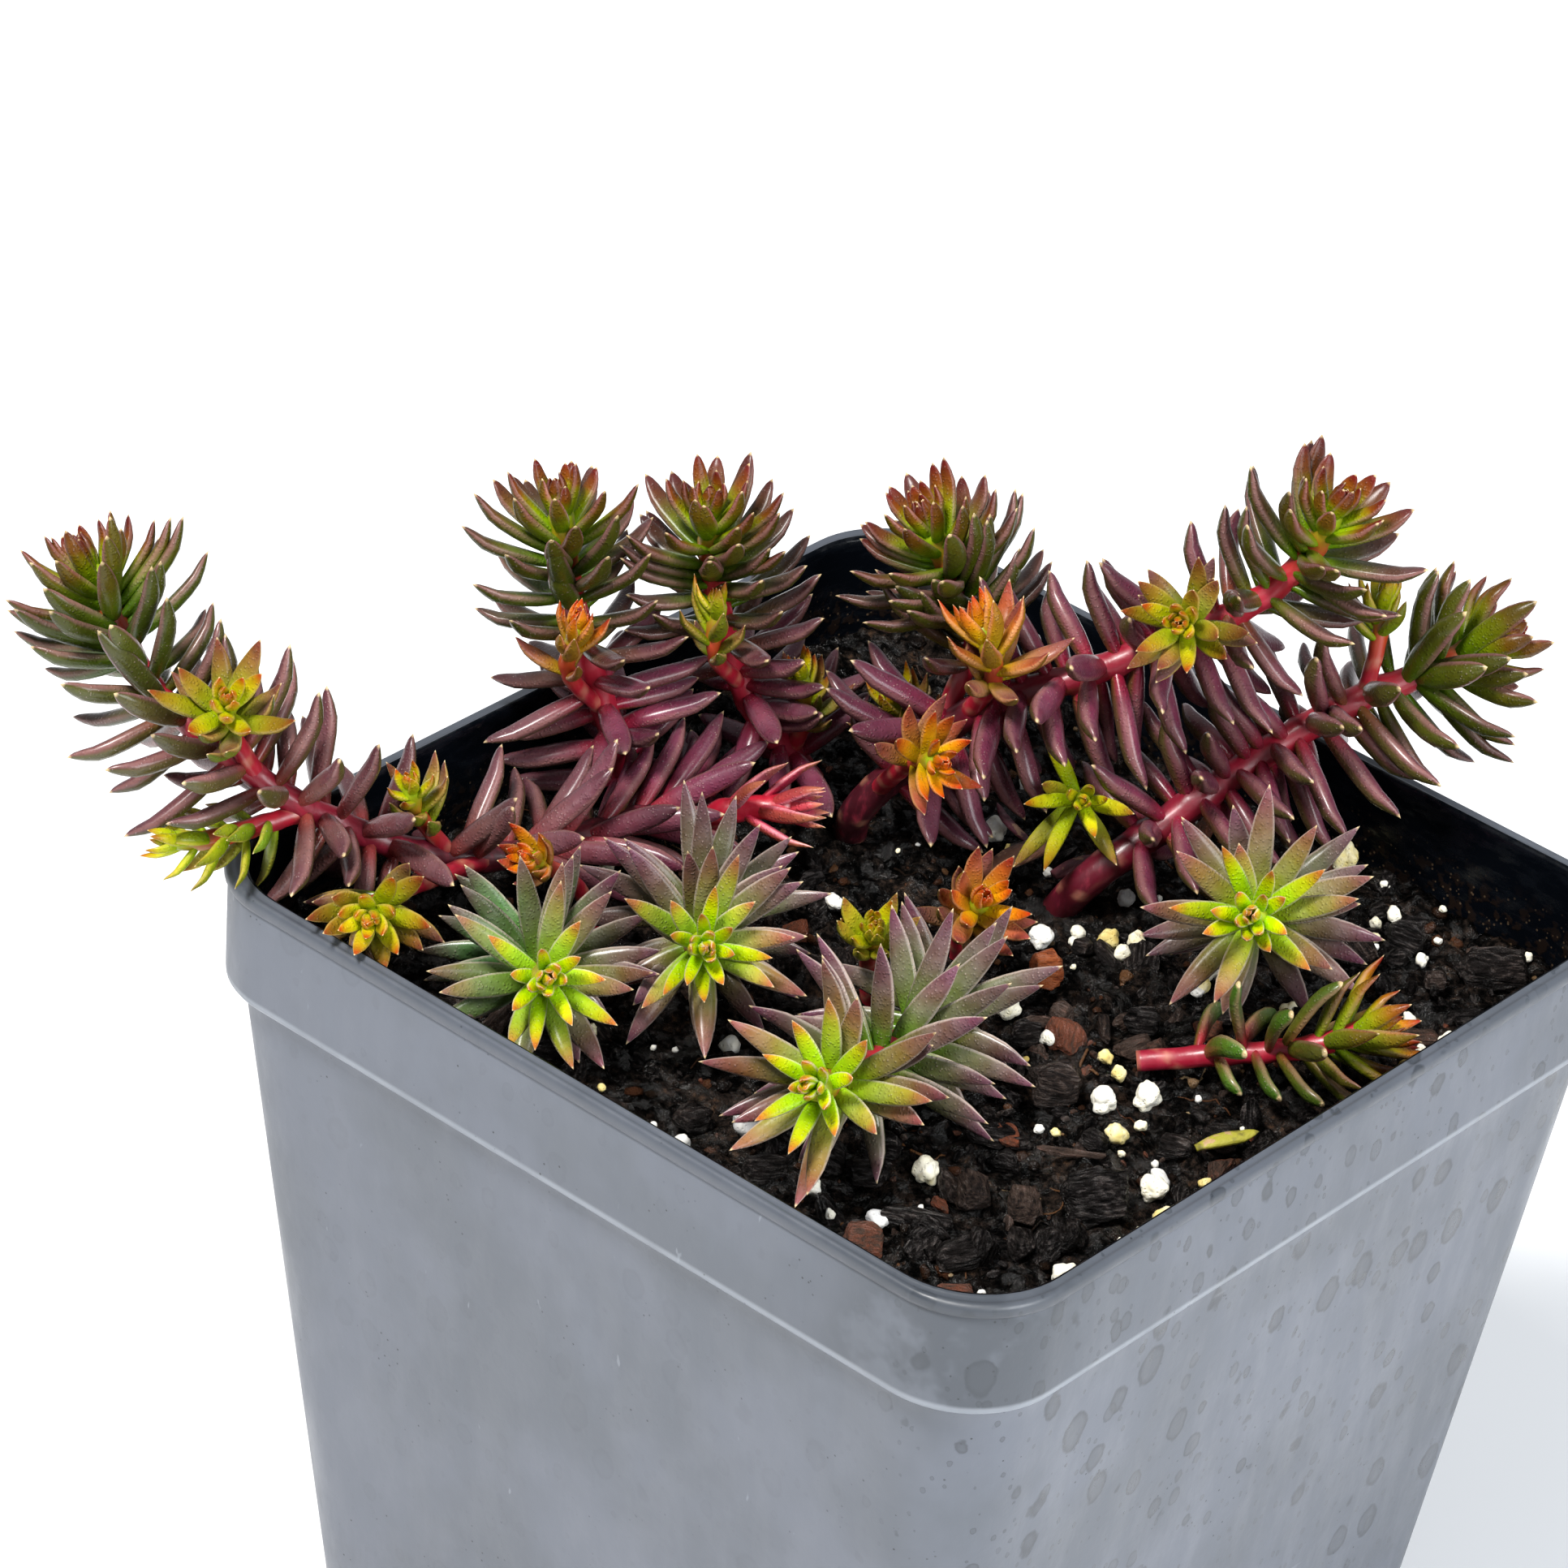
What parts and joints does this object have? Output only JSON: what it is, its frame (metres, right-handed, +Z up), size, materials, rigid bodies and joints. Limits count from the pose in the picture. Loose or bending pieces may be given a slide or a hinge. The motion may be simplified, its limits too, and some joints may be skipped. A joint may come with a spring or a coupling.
{
  "type": "potted reflexed stonecrop",
  "caption": "Small trailing stonecrop with thick pointed purple and green leaves, rooted in bark potting mix in a square plastic nursery pot.",
  "frame": {"origin": "centre of the pot's flat base", "axes": "+Z up, X and Y along the square pot's sides"},
  "size_m": [0.1211, 0.1175, 0.128],
  "materials": {
    "pot": "grey moulded plastic, soft sheen, dried water spots",
    "potting_mix": "dark wet composted bark and peat",
    "bark": "wet pine bark chips, rough",
    "perlite": "white expanded mineral grains, rough",
    "stem_and_purple_leaf": "purple-brown succulent leaves with pale dots on crimson stems, waxy",
    "rosette_leaf": "grey-green leaves with purple tips round a lime centre, waxy",
    "yellow_leaf": "yellow-green young leaves with red tips, waxy",
    "orange_leaf": "orange young leaves with red tips, waxy",
    "green_leaf": "light green young leaves, waxy",
    "pink_leaf": "pink stubby leaves and stem, waxy"
  },
  "bodies": {
    "root": {"pot": "pot", "potting_mix": "potting_mix", "bark_chip_1": "bark", "bark_chip_2": "bark", "bark_chip_3": "bark", "bark_chip_4": "bark", "bark_chip_5": "bark", "bark_chip_6": "bark", "bark_chip_7": "bark", "bark_chip_8": "bark", "bark_chip_9": "bark", "bark_chip_10": "bark", "bark_chip_11": "bark", "perlite_grain_1": "perlite", "perlite_grain_2": "perlite", "perlite_grain_3": "perlite", "perlite_grain_4": "perlite", "perlite_grain_5": "perlite", "perlite_grain_6": "perlite", "perlite_grain_7": "perlite", "perlite_grain_8": "perlite", "perlite_grain_9": "perlite", "perlite_grain_10": "perlite", "perlite_grain_11": "perlite", "trailing_shoot_left": "stem_and_purple_leaf", "upright_shoot_left": "stem_and_purple_leaf", "upright_shoot_middle": "stem_and_purple_leaf", "trailing_shoot_back": "stem_and_purple_leaf", "upright_shoot_back": "stem_and_purple_leaf", "trailing_shoot_right": "stem_and_purple_leaf", "rosette_front_left": "rosette_leaf", "rosette_front_middle": "rosette_leaf", "rosette_front": "rosette_leaf", "rosette_right": "rosette_leaf", "side_rosette_left": "yellow_leaf", "side_shoot_over_corner": "green_leaf", "side_rosette_left_lip": "yellow_leaf", "side_bud_left_back": "yellow_leaf", "side_bud_upright_left": "orange_leaf", "side_bud_upright_middle": "yellow_leaf", "side_bud_low_middle": "yellow_leaf", "small_shoot_back": "yellow_leaf", "side_rosette_back": "orange_leaf", "side_rosette_right_back": "yellow_leaf", "side_bud_right": "yellow_leaf", "small_shoot_centre": "green_leaf", "side_rosette_centre": "orange_leaf", "stubby_shoot_pink": "pink_leaf", "small_shoot_front_left": "orange_leaf", "small_shoot_front": "green_leaf", "rosette_orange_front": "orange_leaf", "lying_cutting": "rosette_leaf"}
  },
  "joints": []
}
